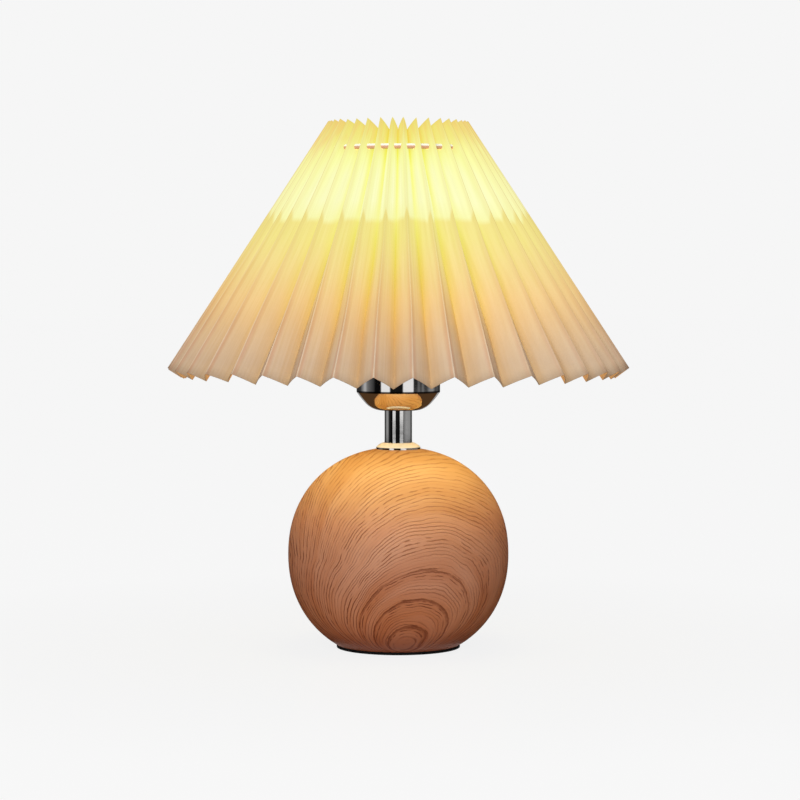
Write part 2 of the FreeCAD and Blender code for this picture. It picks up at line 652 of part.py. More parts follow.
def carrier_arm(arm):
    """A wire that runs out from the fitter ring, bends up and is welded under the gather ring."""
    radius, height = gather_circle()
    middle = (fitter_bottom + fitter_top) / 2
    start = at(fitter_radii()[1], middle)
    corner = at(fitter_radii()[1] + ARM_REACH, middle)
    end = at(radius, height)
    rise = (end - corner).normalize()
    turn = math.atan2(rise.z, rise.x)
    tangent = ARM_BEND_RADIUS * math.tan(turn / 2)
    bend_in = corner - V(1, 0, 0) * tangent
    bend_out = corner + rise * tangent
    weld = end - rise * (GATHER_WIRE_RADIUS * math.cos(math.asin(ARM_RADIUS / 2 / GATHER_WIRE_RADIUS)))
    path = Part.Wire([line(start, bend_in), arc(bend_in, bend_out, ARM_BEND_RADIUS), line(bend_out, weld)])
    section = Part.Wire(Part.makeCircle(ARM_RADIUS, start, V(1, 0, 0)))
    wire = path.makePipeShell([section], True, True)
    collar = disc(fitter_radii()[1], FITTER_THICKNESS, fitter_bottom)
    return spun(wire.cut([gather_ring(), collar]), arm_angle(arm))


PARTS = {
    "ball_base": ball_base,
    "foot_pad": foot_pad,
    "ballast_disc": ballast_disc,
    "cord_inlet_bush": cord_inlet_bush,
    "threaded_rod": threaded_rod,
    "clamp_washer": clamp_washer,
    "spring_washer": spring_washer,
    "clamp_nut": clamp_nut,
    "tooth_washer": tooth_washer,
    "cup_nut": cup_nut,
    "stem_collar": stem_collar,
    "stem_tube": stem_tube,
    "holder_cup": holder_cup,
    "holder_base": holder_base,
    "holder_core": holder_core,
    "terminal_screws": terminal_screws,
    "screw_shell": screw_shell,
    "centre_contact": centre_contact,
    "holder_skirt": holder_skirt,
    "shade_ring_nut": shade_ring_nut,
    "bulb_tip": bulb_tip,
    "bulb_insulator": bulb_insulator,
    "bulb_cap": bulb_cap,
    "bulb_housing": bulb_housing,
    "led_board": led_board,
    "bulb_dome": bulb_dome,
    "fitter_ring": fitter_ring,
    "gather_ring": gather_ring,
    "shade_pleats": shade_pleats,
}

shapes = {name: build() for name, build in PARTS.items()}
for arm in range(ARM_COUNT):
    shapes[f"carrier_arm_{arm + 1}"] = carrier_arm(arm)

os.makedirs("parts", exist_ok=True)
for name, shape in shapes.items():
    shape.exportStep(f"parts/{name}.step")
    box = shape.BoundBox
    print(f"{name}: {len(shape.Solids)} solid, valid {shape.isValid()}, {shape.Volume:.0f} mm3, "
          f"z {box.ZMin:.1f} to {box.ZMax:.1f}")
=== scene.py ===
import math
import random

import bpy
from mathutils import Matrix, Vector


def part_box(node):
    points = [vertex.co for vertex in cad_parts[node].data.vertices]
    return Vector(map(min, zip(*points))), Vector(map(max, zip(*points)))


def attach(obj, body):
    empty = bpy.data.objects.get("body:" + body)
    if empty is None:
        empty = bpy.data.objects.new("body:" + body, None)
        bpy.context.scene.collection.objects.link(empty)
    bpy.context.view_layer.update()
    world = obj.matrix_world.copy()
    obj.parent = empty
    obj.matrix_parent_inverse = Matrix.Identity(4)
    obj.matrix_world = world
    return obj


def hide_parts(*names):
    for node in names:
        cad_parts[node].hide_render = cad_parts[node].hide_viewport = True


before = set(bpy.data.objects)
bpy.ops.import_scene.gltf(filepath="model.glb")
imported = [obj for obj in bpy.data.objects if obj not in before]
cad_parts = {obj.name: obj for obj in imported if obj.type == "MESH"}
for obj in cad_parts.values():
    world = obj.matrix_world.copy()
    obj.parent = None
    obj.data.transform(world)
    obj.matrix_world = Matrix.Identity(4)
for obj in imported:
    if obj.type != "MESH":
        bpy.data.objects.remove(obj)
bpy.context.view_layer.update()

MM = 0.001

# Camera, from the photograph: its distance from the lamp's axis, its height, and where it aims, in metres
CAMERA_DISTANCE = 1.692
CAMERA_HEIGHT = 0.245
AIM_HEIGHT = 0.1614
AIM_SIDE = 0.0011
FOCAL_PIXELS = 2600
FRAME_PIXELS = 800
SENSOR_WIDTH = 36.0

# Lights, in metres, watts and degrees: a wide one high in front, and the lamp's own light under the shade
KEY_PLACE = (-0.25, -2.3, 1.0)
KEY_TARGET = (0, 0, 0.16)
KEY_SIZE = (1.3, 1.1)
KEY_POWER = 38
LAMP_GLOW_PLACE = (0, 0, 0.205)
LAMP_GLOW_TARGET = (0, 0, 0)
LAMP_GLOW_SIZE = (0.17, 0.17)
LAMP_GLOW_POWER = 0.19
LAMP_GLOW_COLOUR = (0.84, 1.0, 0.42)
LAMP_GLOW_SPREAD = 120

# Backdrop and floor, in linear numbers and metres; the sky's tones run from straight down to straight up
BACKDROP_GREY = 0.9216
SKY_TONES = [(0.0, 0.06), (0.42, 0.14), (0.6, 0.36), (1.0, 0.80)]
FLOOR_GLOW = 0.974
FLOOR_WHITE = 0.036
FLOOR_MIRROR = 0.048
FLOOR_MIRROR_REACH = (0.04, 0.42)
FLOOR_MIRROR_ROUGHNESS = 0.04
FLOOR_BOUNCE = (0.30, 0.27, 0.24)
FLOOR_HALF_SIDE = 12.0

# Cards that only polished metal shows, in metres: a wall round the lamp, and a brown table under it
CARD_RADIUS = 1.8
CARD_LOW_EDGE = -0.2
CARD_HIGH_EDGE = 2.6
CARD_STEPS = 90
TABLE_CARD_RADIUS = 0.46
TABLE_CARD_BLEND = 0.02
TABLE_CARD_HOLE = 0.045
TABLE_CARD_HEIGHT = 0.0004
TABLE_CARD_STEPS = 72
TABLE_CARD_BROWN = (0.090, 0.044, 0.018)
# Tones of the wall by bearing in degrees from the camera's side, and the heights where the low ones end
CARD_TONES = [(-180, 0.03), (-140, 0.03), (-126, 0.05), (-114, 0.28), (-104, 0.55), (-94, 0.20),
              (-84, 0.12), (-72, 0.05), (-66, 0.004), (-49, 0.004), (-47, 1.0), (-24, 1.0), (-22, 0.01),
              (12, 0.008), (14, 1.0), (41, 1.0), (43, 0.03), (52, 0.02), (58, 0.15), (65, 0.03),
              (71, 0.18), (78, 0.03), (86, 0.05), (96, 0.25), (108, 0.30), (122, 0.06), (134, 0.10),
              (150, 0.03), (180, 0.03)]
LOW_CARD_TONES = [(-180, 0.03), (-174, 0.40), (-158, 0.40), (-154, 0.03), (-140, 0.05), (-128, 0.08),
                  (-114, 0.36), (-94, 0.34), (-86, 0.04), (-66, 0.004), (-49, 0.004), (-47, 1.0),
                  (-24, 1.0), (-22, 0.01), (12, 0.008), (14, 1.0), (41, 1.0), (43, 0.10), (52, 0.26),
                  (70, 0.38), (95, 0.34), (118, 0.30), (128, 0.05), (150, 0.03), (156, 0.40),
                  (172, 0.40), (176, 0.03), (180, 0.03)]
CARD_TONES_BLEND = (0.065, 0.085)
# How much of its light the wall keeps near the floor: in front by shares of a height, and at the sides
CARD_LIFT_HEIGHT = 0.06
CARD_LIFTS = [(0.0, 1.0), (0.24, 1.0), (0.34, 0.25), (0.48, 0.22), (0.68, 0.55), (0.9, 1.0), (1.0, 1.0)]
CARD_FRONT_EDGE = (43, 48)
SIDE_CARD_LIFT = 0.15
SIDE_CARD_BLEND = (0.014, 0.022)

# Pleated shade, in millimetres, as the construction has it
SHADE_TOP_RADIUS = 45.5
SHADE_BOTTOM_RADIUS = 150.0
SHADE_HEIGHT = 159.8
SHADE_LIFT = 182.8
PLEAT_COUNT = 40
PLEAT_DEPTH = 14.0
PLEAT_TURN = -1.1
SHEET_THICKNESS = 0.4
GATHER_SLANT = 17.65
HOLE_RADIUS = 2.0
# How deep the sheet's middle lies at its outer folds and its valleys, in from the outer cone
OUTER_FOLD_DEPTH = 0.6 * SHEET_THICKNESS
VALLEY_FOLD_DEPTH = PLEAT_DEPTH - 0.3

# How far the folds were pushed round by hand, in degrees by bearing from the front: at the hem and the top
HEM_SHIFTS = [(-180, 0.0), (-120, -0.8), (-90, -1.4), (-72, -1.8), (-54, -2.4), (-45, -1.4), (-36, -0.8),
              (-18, -0.3), (0, 0.0), (18, 0.9), (27, 1.6), (36, 2.7), (54, 3.1), (72, 2.6), (90, 1.5),
              (180, 0.0)]
TOP_SHIFTS = [(-180, 0.0), (-120, -0.6), (-88, -0.4), (-72, -3.0), (-56, -4.6), (-40, -3.4), (-28, -2.6),
              (-19, -0.7), (-10, 1.0), (-3, 1.0), (3, 0.5), (10, 1.8), (20, 3.4), (30, 5.6), (45, 6.4),
              (60, 5.6), (75, 3.2), (92, 0.4), (120, 0.3), (180, 0.0)]

# How much shallower the folds lie at the hem, in millimetres by bearing from the front
HEM_EASE = [(-180, 0.0), (-95, 0.0), (-80, 3.4), (-60, 4.2), (-40, 3.6), (-12, 0.0), (26, 0.0),
            (44, 3.0), (62, 3.8), (80, 3.2), (95, 0.0), (180, 0.0)]

# The folds' small random unevenness, in millimetres and degrees: full at the hem and less at the top
OUTER_DEPTH_WANDER = 0.12
VALLEY_DEPTH_WANDER = 0.55
OUTER_TURN_WANDER = 0.25
VALLEY_TURN_WANDER = 0.35
RISE_WANDER = 0.35
WANDER_AT_TOP = 0.45
WANDER_DRAWS = 5
TURN_SEED = 1000
DEPTH_SEED = 5000
RISE_SEED = 9000
# How far a leaf bows out between its folds, in millimetres: at the top, and how much more at the hem
LEAF_BOW = 0.25
LEAF_BOW_GAIN = 0.2
SHARP_FOLD_ANGLE = 24

# Grid of the sheet: steps across a leaf, rows above and below the punched holes, and each hole's square gap
LEAF_STEPS = 8
ROWS_ABOVE = 5
ROWS_BELOW = 22
HOLE_SPAN = 4
HOLE_ROW_GAP = 1.8
HOLE_FIRST_ROW = ROWS_ABOVE
HOLE_FIRST_COLUMN = (LEAF_STEPS - HOLE_SPAN) // 2
HOLE_RING_REACHES = (1.32, 1.0)

slant_angle = math.atan2(SHADE_BOTTOM_RADIUS - SHADE_TOP_RADIUS, SHADE_HEIGHT)
slant_length = math.hypot(SHADE_BOTTOM_RADIUS - SHADE_TOP_RADIUS, SHADE_HEIGHT)
shade_top = SHADE_LIFT + SHADE_HEIGHT


# Camera, light and stage
def make_camera():
    data = bpy.data.cameras.new("camera")
    data.sensor_fit = "HORIZONTAL"
    data.sensor_width = SENSOR_WIDTH
    data.lens = FOCAL_PIXELS / FRAME_PIXELS * SENSOR_WIDTH
    data.clip_start = 0.05
    camera = bpy.data.objects.new("camera", data)
    bpy.context.collection.objects.link(camera)
    camera.location = (AIM_SIDE, -CAMERA_DISTANCE, CAMERA_HEIGHT)
    aim = Vector((AIM_SIDE, 0, AIM_HEIGHT)) - camera.location
    camera.rotation_euler = aim.to_track_quat("-Z", "Y").to_euler()
    bpy.context.scene.camera = camera


def area_light(name, place, target, size, power, colour=(1, 1, 1), spread=180):
    data = bpy.data.lights.new(name, "AREA")
    data.shape = "ELLIPSE"
    data.size, data.size_y = size
    data.energy = power
    data.color = colour
    data.spread = math.radians(spread)
    light = bpy.data.objects.new(name, data)
    bpy.context.collection.objects.link(light)
    light.location = place
    light.rotation_euler = (Vector(target) - Vector(place)).to_track_quat("-Z", "Y").to_euler()
    light.visible_camera = False
    return light


def make_lights():
    area_light("key", KEY_PLACE, KEY_TARGET, KEY_SIZE, KEY_POWER)
    glow = area_light("lamp_glow", LAMP_GLOW_PLACE, LAMP_GLOW_TARGET, LAMP_GLOW_SIZE, LAMP_GLOW_POWER,
                      LAMP_GLOW_COLOUR, LAMP_GLOW_SPREAD)
    glow.visible_glossy = False


class Nodes:
    """Adds shader nodes to a tree and links them, with short names for the kinds used here."""

    def __init__(self, tree):
        self.tree = tree
        tree.nodes.clear()

    def fill(self, socket, value):
        """Link a socket or set its value; a colour is given by its red, green and blue."""
        if isinstance(value, bpy.types.NodeSocket):
            self.tree.links.new(value, socket)
        elif socket.type == "RGBA":
            socket.default_value = (*value, 1)
        else:
            socket.default_value = value

    def add(self, kind, inputs=(), **settings):
        node = self.tree.nodes.new(kind)
        for name, value in settings.items():
            setattr(node, name, value)
        for key, value in dict(inputs).items():
            self.fill(node.inputs[key], value)
        return node

    def maths(self, operation, first, second=0.0):
        return self.add("ShaderNodeMath", {0: first, 1: second}, operation=operation).outputs[0]

    def total(self, first, *more):
        return self.maths("ADD", first, self.total(*more)) if more else first

    def product(self, first, *more):
        return self.maths("MULTIPLY", first, self.product(*more)) if more else first

    def difference(self, first, second):
        return self.maths("SUBTRACT", first, second)

    def vector(self, operation, first, second):
        return self.add("ShaderNodeVectorMath", {0: first, 1: second}, operation=operation).outputs[0]

    def length(self, vector):
        return self.add("ShaderNodeVectorMath", {0: vector}, operation="LENGTH").outputs["Value"]

    def join(self, x, y, z=0.0):
        return self.add("ShaderNodeCombineXYZ", {0: x, 1: y, 2: z}).outputs[0]

    def split(self, vector):
        return self.add("ShaderNodeSeparateXYZ", {0: vector}).outputs

    def place(self):
        """Where the shaded point is on its piece, in metres, in the frame's axes at rest."""
        return self.add("ShaderNodeTexCoord").outputs["Object"]

    def attribute(self, name):
        return self.add("ShaderNodeAttribute", attribute_name=name).outputs["Fac"]

    def noise(self, vector, scale, detail=3.0, roughness=0.5):
        node = self.add("ShaderNodeTexNoise", {"Vector": vector, "Scale": scale, "Detail": detail,
                                               "Roughness": roughness})
        return node.outputs["Fac"]

    def spread(self, value, low, high, to_low=0.0, to_high=1.0):
        """Map a range of value to another range, clamped."""
        node = self.add("ShaderNodeMapRange", {"Value": value, "From Min": low, "From Max": high,
                                               "To Min": to_low, "To Max": to_high})
        return node.outputs["Result"]

    def ramp(self, factor, stops):
        node = self.add("ShaderNodeValToRGB", {"Fac": factor})
        elements = node.color_ramp.elements
        for element, (place, colour) in ((elements[0], stops[0]), (elements[1], stops[-1])):
            element.position = place
            element.color = (*colour, 1)
        for place, colour in stops[1:-1]:
            elements.new(place).color = (*colour, 1)
        return node.outputs["Color"]

    def grey_ramp(self, factor, stops):
        return self.ramp(factor, [(place, (tone,) * 3) for place, tone in stops])

    def mix(self, factor, first, second, blend="MIX"):
        """Mix two colours."""
        node = self.add("ShaderNodeMix", {"Factor": factor}, data_type="RGBA", blend_type=blend)
        self.fill(node.inputs[6], first)
        self.fill(node.inputs[7], second)
        return node.outputs[2]

    def bump(self, height, strength, distance):
        node = self.add("ShaderNodeBump", {"Height": height, "Strength": strength, "Distance": distance})
        return node.outputs["Normal"]

    def shader(self, kind, inputs=()):
        return self.add(kind, inputs).outputs[0]

    def blend(self, factor, first, second):
        """Mix two shaders."""
        return self.shader("ShaderNodeMixShader", {0: factor, 1: first, 2: second})

    def emission(self, colour, strength=1.0):
        return self.shader("ShaderNodeEmission", {"Color": colour, "Strength": strength})

    def principled(self, **inputs):
        """A general surface, its inputs named as on the node but with underscores."""
        return self.shader("ShaderNodeBsdfPrincipled", {
            key.replace("_", " "): value for key, value in inputs.items()})

    def output(self, surface, kind="ShaderNodeOutputMaterial"):
        self.add(kind, {"Surface": surface})


def grey(tone):
    return (tone,) * 3


def linear(*levels):
    """A colour written as 0 to 255, as the screen shows it, in the shader's linear numbers."""
    shares = (level / 255 for level in levels)
    return tuple(((share + 0.055) / 1.055) ** 2.4 if share > 0.04045 else share / 12.92 for share in shares)


def new_material(name):
    material = bpy.data.materials.new(name)
    material.use_nodes = True
    return material, Nodes(material.node_tree)


def in_mirrors(n, rays):
    """1 for what is seen by way of a mirror or a lens, and 0 for all else."""
    return n.maths("MAXIMUM", rays["Is Glossy Ray"], rays["Is Transmission Ray"])


def make_world():
    """Soft light from above for the surfaces, and the backdrop's grey for what looks past the lamp."""
    world = bpy.data.worlds.new("studio")
    world.use_nodes = True
    bpy.context.scene.world = world
    n = Nodes(world.node_tree)
    rays = n.add("ShaderNodeLightPath").outputs
    height = n.split(n.add("ShaderNodeTexCoord").outputs["Generated"])[2]
    soft = n.grey_ramp(n.spread(height, -1, 1), SKY_TONES)
    shown = n.maths("MAXIMUM", rays["Is Camera Ray"], in_mirrors(n, rays))
    seen = n.mix(shown, soft, grey(BACKDROP_GREY))
    n.output(n.shader("ShaderNodeBackground", {"Color": seen, "Strength": 1.0}), "ShaderNodeOutputWorld")


def stage_mesh(name, points, faces, material):
    mesh = bpy.data.meshes.new(name)
    mesh.from_pydata(points, [], faces)
    mesh.materials.append(material)
    piece = bpy.data.objects.new(name, mesh)
    bpy.context.collection.objects.link(piece)
    return piece


def only_in_reflections(piece):
    piece.visible_camera = False
    piece.visible_diffuse = False
    piece.visible_transmission = False
    piece.visible_shadow = False


def make_floor():
    """A pale floor that shows the backdrop's grey, with a faint shadow and reflection."""
    material, n = new_material("pale_floor")
    rays = n.add("ShaderNodeLightPath").outputs
    glow = n.emission(grey(BACKDROP_GREY), FLOOR_GLOW)
    matt = n.shader("ShaderNodeBsdfDiffuse", {"Color": grey(FLOOR_WHITE)})
    lit = n.shader("ShaderNodeAddShader", {0: glow, 1: matt})
    mirror = n.shader("ShaderNodeBsdfGlossy", {"Color": grey(1.0), "Roughness": FLOOR_MIRROR_ROUGHNESS})
    lit = n.blend(n.spread(n.length(n.place()), *FLOOR_MIRROR_REACH, FLOOR_MIRROR, 0.0), lit, mirror)
    bounce = n.shader("ShaderNodeBsdfDiffuse", {"Color": FLOOR_BOUNCE})
    unlit = n.blend(in_mirrors(n, rays), bounce, n.emission(grey(BACKDROP_GREY)))
    n.output(n.blend(rays["Is Camera Ray"], unlit, lit))
    side = FLOOR_HALF_SIDE
    stage_mesh("floor", [(-side, -side, 0), (side, -side, 0), (side, side, 0), (-side, side, 0)],
               [(0, 1, 2, 3)], material)


def ring_faces(name, steps, corners, material):
    """A ring of faces about the lamp between two circles, each given by its radius and height."""
    turns = [2 * math.pi * step / steps for step in range(steps)]
    points = [(radius * math.sin(turn), -radius * math.cos(turn), height)
              for turn in turns for radius, height in corners]
    faces = [(2 * k, 2 * k + 1, (2 * k + 3) % (2 * steps), (2 * k + 2) % (2 * steps)) for k in range(steps)]
    only_in_reflections(stage_mesh(name, points, faces, material))


def bearing_of(n, x, y):
    """The bearing of a place from the camera's side, in radians."""
    return n.maths("ARCTAN2", x, n.product(y, -1.0))


def tone_ramp(n, bearing, tones):
    return n.grey_ramp(n.spread(bearing, -math.pi, math.pi), [
        ((degrees + 180) / 360, tone) for degrees, tone in tones])


def make_wall_card():
    """Black cards and two white panels in a wall round the lamp."""
    material, n = new_material("reflection_cards")
    x, y, height = n.split(n.place())
    bearing = bearing_of(n, x, y)
    tones = n.mix(n.spread(height, *CARD_TONES_BLEND), tone_ramp(n, bearing, LOW_CARD_TONES),
                  tone_ramp(n, bearing, CARD_TONES))
    front_lift = n.grey_ramp(n.spread(height, 0.0, CARD_LIFT_HEIGHT), CARD_LIFTS)
    side_lift = n.mix(n.spread(height, *SIDE_CARD_BLEND), grey(SIDE_CARD_LIFT), grey(1.0))
    aside = n.spread(n.maths("ABSOLUTE", bearing), *(math.radians(edge) for edge in CARD_FRONT_EDGE))
    n.output(n.emission(tones, n.mix(aside, front_lift, side_lift)))
    edges = ((CARD_RADIUS, CARD_LOW_EDGE), (CARD_RADIUS, CARD_HIGH_EDGE))
    ring_faces("reflection_cards", CARD_STEPS, edges, material)


def make_table_card():
    """A brown table with the wall's low tones beyond it, clear from below."""
    material, n = new_material("table_card")
    x, y, _ = n.split(n.place())
    away = n.maths("SQRT", n.total(n.product(x, x), n.product(y, y)))
    beyond = n.spread(away, TABLE_CARD_RADIUS, TABLE_CARD_RADIUS + TABLE_CARD_BLEND)
    shown = n.mix(beyond, TABLE_CARD_BROWN, tone_ramp(n, bearing_of(n, x, y), LOW_CARD_TONES))
    above = n.difference(1.0, n.add("ShaderNodeNewGeometry").outputs["Backfacing"])
    n.output(n.blend(above, n.shader("ShaderNodeBsdfTransparent"), n.emission(shown)))
    edges = ((TABLE_CARD_HOLE, TABLE_CARD_HEIGHT), (CARD_RADIUS, TABLE_CARD_HEIGHT))
    ring_faces("table_card", TABLE_CARD_STEPS, edges, material)


# Materials

# Where the cup's bowl meets its wall, in metres above its floor, and how wide and dark the painted
# reflection line there is
CUP_CREASE = 0.0124
CREASE_WIDTH = 0.0009
CREASE_PAINTED_REFLECTION = (0.05, 0.04, 0.035)

# Colour of the wood by height above the foot in millimetres, in linear numbers, with painted shade: darker
# and redder towards the foot, and darker near the crown under the collar
WOOD_SHADED_TONES = [(0, (0.456, 0.104, 0.038)), (15, (0.540, 0.169, 0.070)), (28, (0.520, 0.178, 0.076)),
              (42, (0.470, 0.171, 0.080)), (55, (0.483, 0.196, 0.101)), (70, (0.503, 0.219, 0.110)),
              (85, (0.527, 0.229, 0.101)), (100, (0.525, 0.255, 0.101)), (118, (0.455, 0.224, 0.084)),
              (128, (0.362, 0.161, 0.054))]
WOOD_TONES_HEIGHT = 128
PALE_STREAK = (1.0, 0.85, 0.7)
DARK_STREAK = (0.20, 0.05, 0.01)
GRAIN_COLOUR = linear(176, 100, 60)
SIDE_SHADE_TINT = (0.92, 0.78, 0.66)
PORE_TINT = (0.30, 0.16, 0.08)
# Heart of the wood in millimetres, right of the middle and under the foot, and the least height above it
HEART_SIDE = 2.5
HEART_DEPTH = 2.0
LEAST_RISE = 3.0
# How far the arches lean to the right, how much lower they are than circles, and by what heights
ARCH_LEAN = 16.0
ARCH_LEAN_HEIGHT = 62.0
ARCH_FLATTENING = 9.0
ARCH_FLATTENING_HEIGHT = 40.0
# How much depth into the ball counts against width
DEPTH_SHARE = 0.28
# Between which places the grain's shake and its lines weaken upwards and to the right, and the painted
# shade on the ball's left and right sides comes in
CALM_HEIGHTS = (55.0, 105.0)
WEAK_LINE_HEIGHTS = (45.0, 105.0)
WEAK_LINE_SIDES = (-30.0, 40.0)
SHADED_SIDES = (42.0, 72.0)
# Gap of the fine lines in millimetres, and half a line's width as a share of it
LINE_GAP = 2.0
LINE_HALF_WIDTH = 0.21
# How dark the grain is by distance from the heart in millimetres: dark just inside each yearly ring's edge
GRAIN_REACH = 80.0
GRAIN_RINGS = [(0.0, 0.10), (6.0, 0.20), (9.0, 0.70), (11.5, 1.0), (12.0, 0.15), (15.0, 0.20),
               (17.0, 0.65), (19.3, 1.0), (19.9, 0.15), (23.5, 0.20), (26.0, 0.65), (28.4, 1.0),
               (29.0, 0.18), (33.0, 0.25), (35.5, 0.60), (37.6, 0.95), (38.2, 0.35), (43.0, 0.40),
               (47.0, 0.85), (47.8, 0.40), (56.0, 0.50), (60.0, 0.75), (61.0, 0.50), (80.0, 0.60)]


class WoodGrain:
    """Rings that all meet under the foot and arch up the ball, at the shaded point, in millimetres."""

    def __init__(self, n):
        self.n = n
        self.place = n.vector("MULTIPLY", n.place(), (1 / MM,) * 3)
        bent = n.vector("ADD", self.place, n.vector("ADD", self.wander(0.016, 6.0), self.wander(0.06, 1.0)))
        self.right, self.back, self.height = n.split(bent)
        lean = n.spread(self.height, 0.0, ARCH_LEAN_HEIGHT, 0.0, ARCH_LEAN)
        side = n.difference(n.difference(self.right, HEART_SIDE), lean)
        flattening = n.spread(self.height, 0.0, ARCH_FLATTENING_HEIGHT, 0.0, ARCH_FLATTENING)
        up = n.maths("MAXIMUM", n.total(n.total(self.height, HEART_DEPTH), flattening), LEAST_RISE)
        depth = n.product(self.back, DEPTH_SHARE)
        squared = n.total(n.product(side, side), n.product(up, up), n.product(depth, depth))
        self.ring = n.maths("DIVIDE", squared, n.product(up, 2.0))
        self.crowding = n.maths("DIVIDE", self.ring, up)
        self.along = n.product(n.maths("ARCTAN2", side, up), n.product(self.ring, 2.0))
        shaking = n.total(self.shaky(0.045, 1.5), self.shaky(0.12, 0.34), self.shaky(0.32, 0.24))
        ragged = n.product(n.spread(self.height, *CALM_HEIGHTS, 1.0, 0.45), shaking)
        self.line_phase = n.total(n.maths("DIVIDE", self.ring, LINE_GAP), ragged)

    def wander(self, scale, reach):
        """A smooth drift sideways and up."""
        n = self.n
        noise = n.add("ShaderNodeTexNoise", {"Vector": self.place, "Scale": scale, "Detail": 1.0})
        drift = n.vector("SUBTRACT", noise.outputs["Color"], (0.5,) * 3)
        return n.vector("MULTIPLY", drift, (reach, 0.0, reach))

    def shaky(self, scale, reach):
        """Noise about zero."""
        n = self.n
        return n.product(n.difference(n.noise(self.place, scale, 1.0), 0.5), reach)

    def stretched(self, across, length, layer):
        """Noise drawn out along the rings, given in turns to a line and in turns to a millimetre."""
        n = self.n
        layered = n.total(n.product(self.back, 0.02), layer)
        lines = n.join(n.product(self.line_phase, across), n.product(self.along, length), layered)
        return n.noise(lines, 1.0, 1.0)

    def arcs(self, count):
        """Lines along the rings, this many to the line gap."""
        n = self.n
        turn = n.maths("FRACT", n.total(n.product(self.line_phase, count), 0.5))
        off_line = n.maths("ABSOLUTE", n.difference(turn, 0.5))
        return n.spread(off_line, LINE_HALF_WIDTH * 0.3, LINE_HALF_WIDTH, 1, 0)

    def fine_lines(self):
        """Arcs at an even gap: every second one fades out where the rings crowd together."""
        n = self.n
        lines = self.arcs(2.0)
        for start, count in ((0.75, 1.0), (1.5, 0.5), (3.0, 0.25)):
            lines = n.mix(n.spread(self.crowding, start, start * 1.35), lines, self.arcs(count))
        return lines

    def darkness(self):
        """How dark the grain is, by the yearly rings."""
        n = self.n
        ring = n.total(self.ring, self.shaky(0.06, 2.0), self.shaky(0.35, 0.8))
        return n.grey_ramp(n.spread(ring, 0.0, GRAIN_REACH), [
            (distance / GRAIN_REACH, darkness) for distance, darkness in GRAIN_RINGS])

    def pores(self, grain):
        """Fine dark lines: long arcs in pale wood, dashes in dark wood, and each yearly ring's edge."""
        n = self.n
        long_arcs = n.spread(self.stretched(0.9, 0.022, 0.0), 0.40, 0.58, 0.10, 1.0)
        dashes = n.spread(self.stretched(0.9, 0.13, 40.0), 0.42, 0.56, 0.05, 1.0)
        broken = n.mix(n.spread(grain, 0.35, 0.75), long_arcs, dashes)
        pores = n.product(self.fine_lines(), broken)
        pores = n.product(pores, n.spread(grain, 0.1, 0.6, 0.45, 1.0))
        edges = n.product(n.spread(grain, 0.80, 0.97), n.spread(dashes, 0.0, 1.0, 0.80, 1.0))
        return n.maths("MAXIMUM", pores, edges)


def wood_material():
    """Turned wood: its tone follows the height, with painted shade towards the foot and near the crown and
    on the ball's left and right sides, and with streaks, grain and fine dark pores along the rings.
    """
    material, n = new_material("turned_wood")
    wood = WoodGrain(n)
    grain = wood.darkness()
    pores = wood.pores(grain)
    streaks = n.spread(wood.stretched(0.45, 0.010, 20.0), 0.34, 0.66)
    # The tones by height carry painted shade: darker towards the foot and near the crown.
    tones = n.ramp(n.spread(wood.height, 0.0, WOOD_TONES_HEIGHT), [
        (level / WOOD_TONES_HEIGHT, colour) for level, colour in WOOD_SHADED_TONES])
    base = n.mix(streaks, n.mix(0.07, tones, PALE_STREAK), n.mix(0.12, tones, DARK_STREAK))
    base = n.mix(n.product(grain, 0.10), base, GRAIN_COLOUR)
    # Painted shade: the ball's left and right sides are darkened and made redder.
    edge = n.spread(n.maths("ABSOLUTE", wood.right), *SHADED_SIDES, 0.0, 0.9)
    base = n.mix(edge, base, n.mix(1.0, base, SIDE_SHADE_TINT, "MULTIPLY"))
    strength = n.product(n.spread(wood.height, *WEAK_LINE_HEIGHTS, 1.0, 0.62),
                         n.spread(wood.right, *WEAK_LINE_SIDES, 1.0, 0.75))
    colour = n.mix(n.product(pores, strength), base, n.mix(1.0, base, PORE_TINT, "MULTIPLY"))
    relief = n.difference(n.product(streaks, 0.15), pores)
    n.output(n.principled(Base_Color=colour, Roughness=n.spread(pores, 0.0, 1.0, 0.54, 0.72),
                          Specular_IOR_Level=0.26, Normal=n.bump(relief, 0.60, 0.0004)))
    return material


def chrome_material(name, crease=None):
    """Polished metal; a crease is the height of a rounded inner edge, where a dark line is painted in as
    its reflection.
    """
    material, n = new_material(name)
    place = n.place()
    brushed = n.noise(n.vector("MULTIPLY", place, (40.0, 40.0, 900.0)), 1.0, 2.0)
    rough = n.spread(brushed, 0.3, 0.7, 0.035, 0.07)
    tint = n.mix(n.noise(place, 60.0), (0.70, 0.69, 0.68), (0.78, 0.77, 0.76))
    if crease is not None:
        # A painted reflection: a dark line in the base colour round the crease.
        off_crease = n.maths("ABSOLUTE", n.difference(n.split(place)[2], crease))
        tint = n.mix(n.spread(off_crease, 0.5 * CREASE_WIDTH, 0.9 * CREASE_WIDTH), CREASE_PAINTED_REFLECTION, tint)
    n.output(n.principled(Base_Color=tint, Metallic=1.0, Roughness=rough,
                          Normal=n.bump(n.noise(place, 130.0), 0.03, 0.0003)))
    return material


